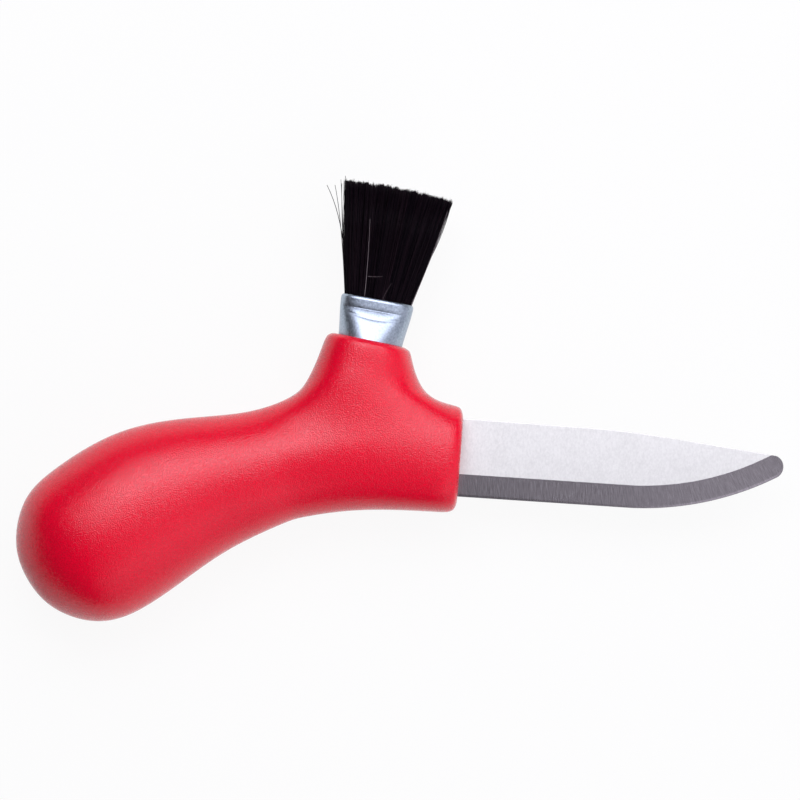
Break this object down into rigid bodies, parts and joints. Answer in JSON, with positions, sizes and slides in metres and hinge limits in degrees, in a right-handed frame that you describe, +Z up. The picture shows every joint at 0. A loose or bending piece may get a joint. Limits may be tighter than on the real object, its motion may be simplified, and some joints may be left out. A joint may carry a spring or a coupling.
{
  "type": "mushroom knife",
  "caption": "Short fixed-blade foraging knife with a bent, bulb-ended moulded handle and a flat bristle brush set in a boss on its back.",
  "frame": {"origin": "on the surface that the knife lies on, under the middle of its bounding box", "axes": "+X along the blade to the tip, +Y towards the brush, +Z up through the knife's thickness"},
  "size_m": [0.1708, 0.1024, 0.0301],
  "materials": {
    "handle_plastic": "fine spark-eroded grain",
    "blade_steel": "satin flats, ground bevel",
    "ferrule_metal": "bright tinned",
    "setting_resin": "cured resin",
    "bristle": "dark natural hair"
  },
  "bodies": {
    "root": {"handle": "handle_plastic", "blade": "blade_steel", "ferrule": "ferrule_metal", "bristle_setting": "setting_resin", "bristle_tuft": "bristle"}
  },
  "joints": []
}
